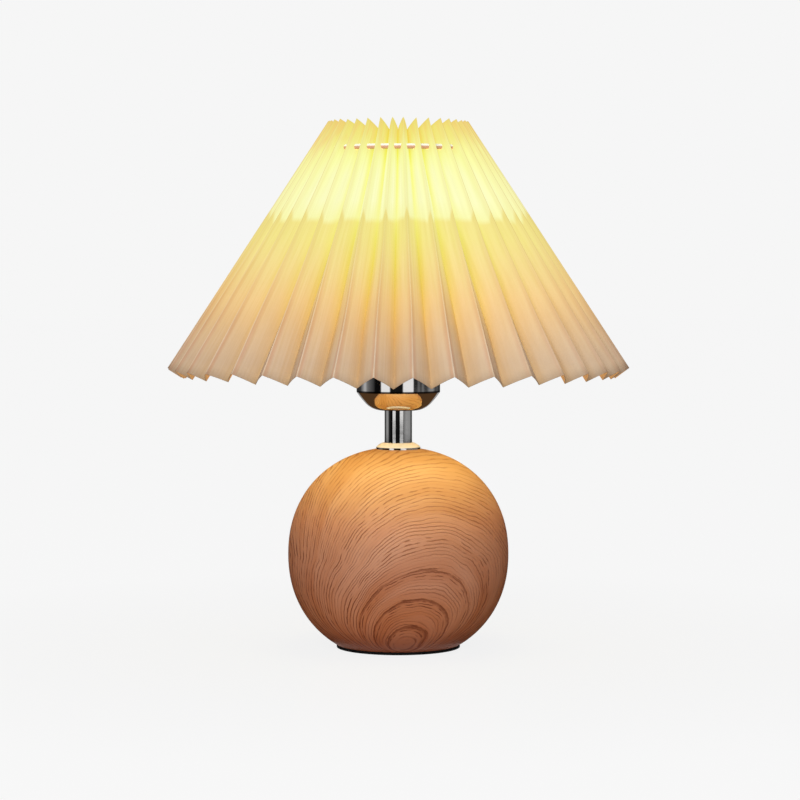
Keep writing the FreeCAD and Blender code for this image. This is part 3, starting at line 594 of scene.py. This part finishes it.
def collar_material():
    """Polished at the rim; on the flare above it, a pale warm colour in place of the lit shade's reflection
    in the chrome: a painted reflection.
    """
    material, n = new_material("collar_painted_reflection")
    place = n.place()
    low, high = (corner[2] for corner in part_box("stem_collar"))
    flare = n.spread(n.split(place)[2], low + 0.26 * (high - low), low + 0.34 * (high - low))
    grain = n.noise(place, 900.0, 3.0)
    # Painted reflection: the flare's pale warm colour stands in for the lit shade seen in the chrome.
    painted_reflection = n.mix(grain, (0.67, 0.60, 0.66), (0.73, 0.66, 0.72))
    colour = n.mix(flare, (0.80, 0.79, 0.78), painted_reflection)
    n.output(n.principled(Base_Color=colour, Metallic=n.spread(flare, 0.0, 1.0, 1.0, 0.15),
                          Roughness=n.spread(flare, 0.0, 1.0, 0.06, 0.42),
                          Normal=n.bump(grain, 0.03, 0.0002)))
    return material


def speckled(name, dark, light, roughness, grain_scale, bump=0.1, **more):
    """A moulded or painted finish: two close colours in fine grain, with a little bump."""
    material, n = new_material(name)
    place = n.place()
    grain = n.noise(place, grain_scale, 4.0)
    cloud = n.noise(place, grain_scale / 12, 2.0)
    both = n.total(n.product(grain, 0.5), n.product(cloud, 0.5))
    colour = n.mix(n.spread(both, 0.35, 0.65), dark, light)
    rough = n.spread(grain, 0.3, 0.7, roughness - 0.04, roughness + 0.06)
    n.output(n.principled(Base_Color=colour, Roughness=rough, Normal=n.bump(grain, bump, 0.0002), **more))
    return material


# Glow of the lit cloth by height above the foot in metres: on the leaves, down in the folds, and inside
LEAF_GLOW = [(0.174, (0.020, 0.000, 0.000)), (0.190, (0.030, 0.000, 0.000)), (0.205, (0.120, 0.055, 0.0)),
             (0.217, (0.28, 0.160, 0.025)), (0.229, (0.43, 0.285, 0.070)), (0.252, (0.61, 0.520, 0.150)),
             (0.266, (0.70, 0.645, 0.175)), (0.2750, (0.76, 0.69, 0.195)), (0.2785, (0.83, 0.87, 0.39)),
             (0.289, (0.845, 0.895, 0.42)), (0.310, (0.84, 0.90, 0.345)), (0.319, (0.83, 0.89, 0.31)),
             (0.330, (0.77, 0.74, 0.18)), (0.343, (0.74, 0.63, 0.10))]
FOLD_GLOW = [(0.174, (0.205, 0.145, 0.108)), (0.190, (0.160, 0.130, 0.040)), (0.205, (0.190, 0.100, 0.0)),
             (0.217, (0.315, 0.21, 0.000)), (0.229, (0.41, 0.300, 0.012)), (0.252, (0.57, 0.52, 0.055)),
             (0.266, (0.68, 0.670, 0.105)), (0.2750, (0.765, 0.755, 0.165)), (0.2785, (0.82, 0.86, 0.30)),
             (0.289, (0.835, 0.88, 0.275)), (0.310, (0.845, 0.89, 0.185)), (0.319, (0.785, 0.81, 0.055)),
             (0.330, (0.77, 0.650, 0.035)), (0.343, (0.70, 0.52, 0.040))]
LINING_GLOW = [(0.174, (0.30, 0.16, 0.070)), (0.195, (0.44, 0.24, 0.080)), (0.220, (0.85, 0.50, 0.16)),
               (0.250, (1.00, 0.78, 0.33)), (0.320, (1.00, 0.85, 0.40)), (0.330, (0.64, 0.58, 0.080)),
               (0.343, (0.52, 0.45, 0.030))]
# Colour of the unlit cloth by height, on the leaves
CLOTH_TONES = [(0.174, (0.57, 0.430, 0.30)), (0.185, (0.58, 0.445, 0.295)), (0.195, (0.60, 0.46, 0.305)),
               (0.215, (0.61, 0.455, 0.29)), (0.240, (0.60, 0.445, 0.275)), (0.343, (0.59, 0.44, 0.26))]
GLOW_LOW = 0.170
GLOW_HIGH = 0.345
# How far the glow lags behind on the outer folds, and how uneven its levels are, in metres
RIDGE_LAG = 0.007
GLOW_UNEVENNESS = 0.007
# Between which heights each change of the cloth comes in, in metres, and where the light band goes again
COLOUR_GIVES_WAY = (0.205, 0.2785)
RIDGE_RISE = (0.235, 0.285)
BAND_RISE = (0.2785, 0.289)
BAND_FALL = (0.306, 0.320)
FLANK_RISE = (0.305, 0.335)
PATCH_RISE = (0.316, 0.330)
# Tints of the cloth: its threads; painted shade in its valleys and beside the outer folds; a painted
# highlight and painted shade on the outer folds; painted warm light on its lining; then of its glow
THREAD_COLOUR = (0.46, 0.34, 0.20)
VALLEY_SHADE = (0.52, 0.34, 0.13)
BESIDE_CREASE_SHADE = (0.52, 0.23, 0.13)
CREASE_HIGHLIGHT = (0.86, 0.76, 0.64)
CREASE_SHADE = (0.30, 0.19, 0.12)
LINING_WARM_LIGHT = (0.62, 0.36, 0.13)
MIDDLE_GLOW = (0.85, 0.90, 0.58)
DARK_STREAK_GLOW = (0.25, 0.10, 0.0)
PALE_STREAK_GLOW = (1.0, 1.0, 0.9)
RIDGE_GLOW = (0.62, 0.38, 0.17)
SIDE_CREASE_GLOW = (0.50, 0.26, 0.08)
PATCH_GLOW = (0.80, 0.50, 0.14)
FLANK_GLOW = (0.74, 0.44, 0.15)
# Light on the cloth from its left side to its right
SIDE_LIGHT = [(0.0, (0.84, 0.82, 0.80)), (0.22, (0.91, 0.89, 0.88)), (0.40, (1, 1, 1)), (0.75, (1, 1, 1)),
              (1.0, (0.91, 0.90, 0.90))]
# Glow of the bulb's dome, and its two close colours
DOME_GLOW = 6.0
DOME_COLOURS = (linear(255, 244, 200), linear(255, 238, 184))


def glow_ramp(n, height, stops):
    share = n.spread(height, GLOW_LOW, GLOW_HIGH)
    return n.ramp(share, [((level - GLOW_LOW) / (GLOW_HIGH - GLOW_LOW), colour) for level, colour in stops])


class ClothPoint:
    """What the cloth's colours follow: fold is 0 on an outer fold and 1 in a valley, sideways -1 to 1."""

    def __init__(self, n):
        self.fold = n.attribute("fold")
        self.leaf = n.attribute("leaf")
        self.place = n.place()
        across, _, self.height = n.split(self.place)
        from_axis = n.length(n.vector("MULTIPLY", self.place, (1.0, 1.0, 0.0)))
        self.sideways = n.maths("DIVIDE", across, from_axis)
        self.crease = n.spread(self.fold, 0.0, 0.035, 1.0, 0.0)
        fading = n.spread(self.fold, 0.08, 0.22, 1.0, 0.0)
        self.beside = n.product(n.spread(self.fold, 0.030, 0.055), fading)


def cloth_colour(n, at, threads):
    """The cloth's colour, with painted shade in its valleys and beside the outer folds, a painted highlight
    on the outer folds to the left and painted shade on them to the right, and painted light across it from
    left to right; it gives way to the glow with height.
    """
    cloth = n.mix(n.product(threads, 0.25), glow_ramp(n, at.height, CLOTH_TONES), THREAD_COLOUR)
    # Painted shade down in the valleys.
    cloth = n.mix(n.product(n.spread(at.fold, 0.45, 1.0), 0.60), cloth, VALLEY_SHADE)
    # Each tint's strength goes from one share to another as the cloth turns to the right: painted shade
    # beside the outer folds, a painted highlight on them that fades, and painted shade on them that grows
    for part, sides, colour in ((at.beside, (0.25, 0.55, 0.40, 0.20), BESIDE_CREASE_SHADE),
                                (at.crease, (0.25, 0.55, 0.38, 0.0), CREASE_HIGHLIGHT),
                                (at.crease, (0.35, 0.60, 0.0, 0.55), CREASE_SHADE)):
        cloth = n.mix(n.product(part, n.spread(at.sideways, *sides)), cloth, colour)
    cloth = n.mix(n.spread(at.height, *COLOUR_GIVES_WAY, 0.0, 0.78), cloth, grey(0.0))
    return n.mix(1.0, cloth, n.ramp(n.spread(at.sideways, -1.0, 1.0), SIDE_LIGHT), "MULTIPLY")


def glow_by_height(n, at):
    """The lamp's light through the cloth: it follows the height and the depth in the fold."""
    stretched = n.vector("MULTIPLY", at.place, (1.0, 1.0, 0.35))
    unevenness = n.product(n.difference(n.noise(stretched, 45.0, 2.0), 0.5), GLOW_UNEVENNESS)
    lag = n.spread(at.fold, 0.0, 0.22, -RIDGE_LAG, 0.0)
    level = n.total(n.total(at.height, lag), unevenness)
    fold_start = n.spread(at.height, 0.185, 0.240, 0.80, 0.45)
    in_fold = n.maths("POWER", n.spread(n.difference(at.fold, fold_start), 0.0, 0.5), 1.3)
    glow = n.mix(in_fold, glow_ramp(n, level, LEAF_GLOW), glow_ramp(n, level, FOLD_GLOW))
    middle = n.product(n.spread(at.fold, 0.14, 0.45), n.spread(at.fold, 0.60, 0.85, 0.5, 0.0))
    band = n.product(n.spread(level, *BAND_RISE), n.spread(level, *BAND_FALL, 1.0, 0.0))
    return n.mix(n.product(middle, band), glow, MIDDLE_GLOW)


def cloth_glow(n, at):
    """The glow with its streaks down each leaf, its brown outer folds, a browner glow towards the left and
    right sides, and its patches near the top.
    """
    glow = glow_by_height(n, at)
    across = n.total(n.product(at.fold, 5.0), n.product(at.leaf, 17.3))
    streaks = n.noise(n.join(across, n.product(at.height, 18.0)), 1.0, 3.0, 0.6)
    glow = n.mix(n.spread(streaks, 0.35, 0.65), n.mix(0.07, glow, DARK_STREAK_GLOW),
                 n.mix(0.05, glow, PALE_STREAK_GLOW))
    ridge = n.maths("MAXIMUM", at.crease, n.product(at.beside, 0.45))
    glow = n.mix(n.product(ridge, n.spread(at.height, *RIDGE_RISE, 0.0, 0.24)), glow, RIDGE_GLOW)
    # Painted light: towards the left and right sides the glow on the outer folds turns browner.
    off_middle = n.maths("ABSOLUTE", at.sideways)
    side_crease = n.product(at.crease, n.spread(off_middle, 0.20, 0.60))
    glow = n.mix(n.product(side_crease, n.spread(at.height, *RIDGE_RISE, 0.10, 0.42)), glow, SIDE_CREASE_GLOW)
    patches = n.noise(n.join(n.product(at.leaf, 7.1), n.product(at.height, 60.0)), 1.0, 1.0)
    patched = n.product(n.spread(patches, 0.48, 0.60, 0.0, 0.28), n.spread(at.height, *PATCH_RISE))
    glow = n.mix(patched, glow, PATCH_GLOW)
    # Painted light: near the top, the glow on the cloth's left and right flanks turns orange-brown.
    flank = n.product(n.spread(off_middle, 0.70, 1.0), n.spread(at.height, *FLANK_RISE))
    return n.mix(n.product(flank, n.spread(patches, 0.35, 0.60, 0.15, 0.50)), glow, FLANK_GLOW)


def shade_material(name, lining=False):
    """Translucent pleated cloth, lit from inside."""
    material, n = new_material(name)
    at = ClothPoint(n)
    threads = n.noise(n.vector("MULTIPLY", at.place, (900.0, 900.0, 300.0)), 1.0, 2.0)
    cloth = cloth_colour(n, at, threads)
    if lining:
        # Painted warm light: the inner face is tinted orange where the bulb's light falls on it.
        cloth = n.mix(0.85, cloth, LINING_WARM_LIGHT)
        glow = glow_ramp(n, at.height, LINING_GLOW)
    else:
        glow = cloth_glow(n, at)
    n.output(n.principled(Base_Color=cloth, Roughness=0.80, Specular_IOR_Level=0.04, Emission_Color=glow,
                          Emission_Strength=1.0, Normal=n.bump(threads, 0.10, 0.0001)))
    return material


def ring_material():
    """White coated wire, with painted pinkish shade on its lower half."""
    material, n = new_material("gather_wire")
    place = n.place()
    grain = n.noise(place, 1100.0, 4.0)
    low, high = (corner[2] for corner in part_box("gather_ring"))
    # Painted shade: the lower half of the wire is darkened to a pinkish tone.
    lower = n.spread(n.split(place)[2], low + 0.52 * (high - low), low + 0.66 * (high - low), 1.0, 0.0)
    colour = n.mix(lower, n.mix(grain, (0.84, 0.83, 0.80), (0.92, 0.91, 0.88)), (0.62, 0.34, 0.25))
    n.output(n.principled(Base_Color=colour, Roughness=n.spread(grain, 0.3, 0.7, 0.40, 0.50),
                          Specular_IOR_Level=0.2, Normal=n.bump(grain, 0.1, 0.0002)))
    return material


def dome_material():
    """Frosted bulb dome, lit."""
    material, n = new_material("frosted_dome_lit")
    colour = n.mix(n.noise(n.place(), 40.0), *DOME_COLOURS)
    n.output(n.principled(Base_Color=colour, Roughness=0.5, Emission_Color=colour,
                          Emission_Strength=DOME_GLOW))
    return material


# Pleated shade
def steady_noise(seed):
    """A smooth run of values for one fold, from 0 at the top of the slant to 1 at the bottom."""
    draw = random.Random(seed)
    values = [draw.uniform(-1, 1) for _ in range(WANDER_DRAWS)]

    def value(share):
        place = share * (len(values) - 1)
        low = min(int(place), len(values) - 2)
        blend = place - low
        blend = blend * blend * (3 - 2 * blend)
        return values[low] * (1 - blend) + values[low + 1] * blend

    return value


def shift_at(table, bearing):
    """Read a table of shifts at a bearing, between its rows."""
    bearing = (bearing + 180) % 360 - 180
    for (low, first), (high, second) in zip(table, table[1:]):
        if bearing <= high:
            return first + (second - first) * (bearing - low) / (high - low)
    return table[-1][1]


class PleatSheet:
    """The middle surface of the pleated sheet: where its points lie, with a hand-made unevenness."""

    def __init__(self):
        folds = 2 * PLEAT_COUNT
        self.turns = [steady_noise(TURN_SEED + fold) for fold in range(folds)]
        self.depths = [steady_noise(DEPTH_SEED + fold) for fold in range(folds)]
        self.rises = [random.Random(RISE_SEED + fold).uniform(-1, 1) for fold in range(folds)]

    def fold_point(self, fold, share):
        """A point on a fold: even folds are valleys and odd folds are outer folds."""
        fold_index = fold % (2 * PLEAT_COUNT)
        outer = fold % 2 == 1
        slant = share * slant_length
        wander = WANDER_AT_TOP + (1 - WANDER_AT_TOP) * share
        depth = OUTER_FOLD_DEPTH if outer else VALLEY_FOLD_DEPTH
        depth_wander = OUTER_DEPTH_WANDER if outer else VALLEY_DEPTH_WANDER
        depth += depth_wander * self.depths[fold_index](share) * wander
        bearing = 180.0 / PLEAT_COUNT * fold + PLEAT_TURN
        # A straight fold's reach to the side grows evenly down the slant; its angle is that over the radius
        hem_part = share * SHADE_BOTTOM_RADIUS / (SHADE_TOP_RADIUS + slant * math.sin(slant_angle))
        if not outer:
            depth -= shift_at(HEM_EASE, bearing) * share ** 3
        bearing += hem_part * shift_at(HEM_SHIFTS, bearing) + (1 - hem_part) * shift_at(TOP_SHIFTS, bearing)
        turn_wander = OUTER_TURN_WANDER if outer else VALLEY_TURN_WANDER
        bearing += turn_wander * self.turns[fold_index](share) * wander
        radius = SHADE_TOP_RADIUS + slant * math.sin(slant_angle) - depth * math.cos(slant_angle)
        height = shade_top - slant * math.cos(slant_angle) - depth * math.sin(slant_angle)
        height += RISE_WANDER * self.rises[fold_index] * (2 * share - 1) - RISE_WANDER
        turn = math.radians(bearing)
        return Vector((radius * math.sin(turn), -radius * math.cos(turn), height)) * MM

    def leaf_point(self, leaf, share, fold_share):
        """A point of a leaf. fold_share runs from 0 at the leaf's first fold to 1 at its second."""
        first = self.fold_point(leaf, share)
        second = self.fold_point(leaf + 1, share)
        point = first.lerp(second, fold_share)
        across = (second - first).normalized()
        slope = Vector((first.x, first.y, 0)).normalized() * math.sin(slant_angle)
        along = Vector((slope.x, slope.y, -math.cos(slant_angle)))
        outward = across.cross(along).normalized()
        if outward.dot(Vector((point.x, point.y, 0.0))) < 0:
            outward = -outward
        bow = (LEAF_BOW + LEAF_BOW_GAIN * share) * math.sin(math.pi * fold_share) * MM
        return point + outward * bow


def leaf_width(radius):
    """How wide one leaf is where its outer folds lie at this radius, in millimetres."""
    depth = OUTER_FOLD_DEPTH - VALLEY_FOLD_DEPTH
    middle = radius - (OUTER_FOLD_DEPTH + VALLEY_FOLD_DEPTH) / 2 * math.cos(slant_angle)
    return math.hypot(depth, middle * math.pi / PLEAT_COUNT)


def pleat_rows():
    """Shares of the slant at which the sheet has rows, with even steps round the punched holes."""
    half_span = HOLE_SPAN // 2
    hole_rows = [GATHER_SLANT + HOLE_ROW_GAP * k for k in range(-half_span, half_span + 1)]
    above = [hole_rows[0] * k / ROWS_ABOVE for k in range(ROWS_ABOVE)]
    rest = slant_length - hole_rows[-1]
    below = [hole_rows[-1] + rest * k / ROWS_BELOW for k in range(1, ROWS_BELOW + 1)]
    return [slant / slant_length for slant in above + hole_rows + below]


def in_hole(row, column):
    """Whether a face of the grid is in the square gap round a leaf's punched hole."""
    step = column % LEAF_STEPS
    return (HOLE_FIRST_ROW <= row < HOLE_FIRST_ROW + HOLE_SPAN
            and HOLE_FIRST_COLUMN <= step < HOLE_FIRST_COLUMN + HOLE_SPAN)


def shade_mesh():
    """All the leaves as one closed ring of sheet, with a round hole in each for the gather ring."""
    sheet = PleatSheet()
    rows = pleat_rows()
    columns = 2 * PLEAT_COUNT * LEAF_STEPS
    points, faces, leaves, folds = [], [], [], []

    def add(leaf, share, fold_share):
        points.append(sheet.leaf_point(leaf, share, fold_share))
        leaves.append(leaf + 0.5 * fold_share)
        folds.append(1 - fold_share if leaf % 2 == 0 else fold_share)
        return len(points) - 1

    grid = [[add(column // LEAF_STEPS, share, column % LEAF_STEPS / LEAF_STEPS)
             for column in range(columns)] for share in rows]
    for row, (upper, lower) in enumerate(zip(grid, grid[1:])):
        for column in range(columns):
            if not in_hole(row, column):
                right = (column + 1) % columns
                faces.append((upper[column], lower[column], lower[right], upper[right]))
    for leaf in range(2 * PLEAT_COUNT):
        faces += hole_patch(sheet, grid, rows, leaf, add)
    return points, faces, leaves, folds


def hole_patch(sheet, grid, rows, leaf, add):
    """Rings of faces between the square gap in a leaf's grid and its round hole."""
    first_column = leaf * LEAF_STEPS + HOLE_FIRST_COLUMN
    last_row = HOLE_FIRST_ROW + HOLE_SPAN
    border = [(HOLE_FIRST_ROW, k) for k in range(HOLE_SPAN)]
    border += [(HOLE_FIRST_ROW + k, HOLE_SPAN) for k in range(HOLE_SPAN)]
    border += [(last_row, HOLE_SPAN - k) for k in range(HOLE_SPAN)]
    border += [(last_row - k, 0) for k in range(HOLE_SPAN)]
    columns = len(grid[0])
    rings = [[grid[row][(first_column + step) % columns] for row, step in border]]
    width = (sheet.fold_point(leaf, GATHER_SLANT / slant_length)
             - sheet.fold_point(leaf + 1, GATHER_SLANT / slant_length)).length / MM
    for reach in HOLE_RING_REACHES:
        ring = []
        for row, step in border:
            down = rows[row] * slant_length - GATHER_SLANT
            side = (step - HOLE_SPAN / 2) / LEAF_STEPS * width
            size = math.hypot(down, side)
            share = (GATHER_SLANT + down / size * HOLE_RADIUS * reach) / slant_length
            fold_share = 0.5 + side / size * HOLE_RADIUS * reach / width
            ring.append(add(leaf, share, fold_share))
        rings.append(ring)
    faces = []
    for outside, inside in zip(rings, rings[1:]):
        for k in range(len(outside)):
            after = (k + 1) % len(outside)
            faces.append((outside[k], inside[k], inside[after], outside[after]))
    return faces


def make_shade():
    points, faces, leaves, folds = shade_mesh()
    mesh = bpy.data.meshes.new("pleated_shade")
    mesh.from_pydata(points, [], faces)
    for name, values in (("leaf", leaves), ("fold", folds)):
        mesh.attributes.new(name, "FLOAT", "POINT").data.foreach_set("value", values)
    mesh.materials.append(shade_material("shade_cloth_lit"))
    mesh.materials.append(shade_material("shade_lining_lit", lining=True))
    mesh.polygons.foreach_set("use_smooth", [True] * len(mesh.polygons))
    shade = bpy.data.objects.new("pleated_shade", mesh)
    bpy.context.collection.objects.link(shade)
    thick = shade.modifiers.new("thickness", "SOLIDIFY")
    thick.thickness = SHEET_THICKNESS * MM
    thick.offset = 0.0
    thick.material_offset = 1
    thick.material_offset_rim = 0
    mesh.set_sharp_from_angle(angle=math.radians(SHARP_FOLD_ANGLE))
    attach(shade, "shade")
    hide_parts("shade_pleats")
    return shade


# Dressing the construction's own nodes
def dress(material, *nodes):
    for name in nodes:
        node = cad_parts[name]
        node.data.materials.clear()
        node.data.materials.append(material)


def dress_nodes():
    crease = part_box("holder_cup")[0][2] + CUP_CREASE
    steel = speckled("zinc_plated_steel", (0.40, 0.40, 0.42), (0.56, 0.56, 0.55), 0.34, 700.0, Metallic=1.0)
    brass = speckled("brass", (0.58, 0.40, 0.16), (0.72, 0.53, 0.24), 0.28, 500.0, Metallic=1.0)
    black = speckled("black_moulding", (0.012, 0.012, 0.012), (0.025, 0.025, 0.025), 0.32, 900.0)
    foam = speckled("black_foam_rubber", (0.003, 0.003, 0.003), (0.008, 0.008, 0.008), 0.85, 1500.0, 0.4,
                    Specular_IOR_Level=0.05)
    white = speckled("white_powder_coat", (0.86, 0.85, 0.83), (0.93, 0.92, 0.90), 0.42, 1100.0)
    dress(wood_material(), "ball_base")
    dress(foam, "foot_pad", "cord_inlet_bush")
    dress(chrome_material("polished_chrome"), "stem_tube")
    dress(chrome_material("cup_chrome", crease), "holder_cup")
    dress(collar_material(), "stem_collar")
    dress(steel, "threaded_rod", "clamp_washer", "spring_washer", "clamp_nut", "tooth_washer", "cup_nut")
    dress(speckled("cast_iron", (0.03, 0.03, 0.032), (0.07, 0.07, 0.072), 0.62, 600.0, 0.5), "ballast_disc")
    dress(black, "holder_base", "holder_skirt", "shade_ring_nut", "bulb_insulator")
    dress(speckled("pale_ceramic", (0.70, 0.67, 0.60), (0.82, 0.79, 0.72), 0.30, 300.0), "holder_core")
    dress(brass, "terminal_screws", "screw_shell", "centre_contact", "bulb_tip")
    nickel = speckled("nickel_cap", (0.52, 0.50, 0.46), (0.66, 0.63, 0.58), 0.26, 800.0, Metallic=1.0)
    dress(nickel, "bulb_cap")
    dress(speckled("white_moulding", (0.78, 0.78, 0.76), (0.88, 0.88, 0.86), 0.45, 900.0), "bulb_housing")
    dress(speckled("board_white", (0.76, 0.76, 0.74), (0.86, 0.86, 0.84), 0.40, 500.0), "led_board")
    dress(dome_material(), "bulb_dome")
    dress(white, "fitter_ring", *[f"carrier_arm_{arm}" for arm in range(1, 5)])
    dress(ring_material(), "gather_ring")


make_camera()
make_lights()
make_world()
make_floor()
make_wall_card()
make_table_card()
shade = make_shade()
dress_nodes()
top_length, hem_length = (2 * PLEAT_COUNT * leaf_width(radius) * MM
                          for radius in (SHADE_TOP_RADIUS, SHADE_BOTTOM_RADIUS))

view = bpy.context.scene.view_settings
view.view_transform = "Standard"
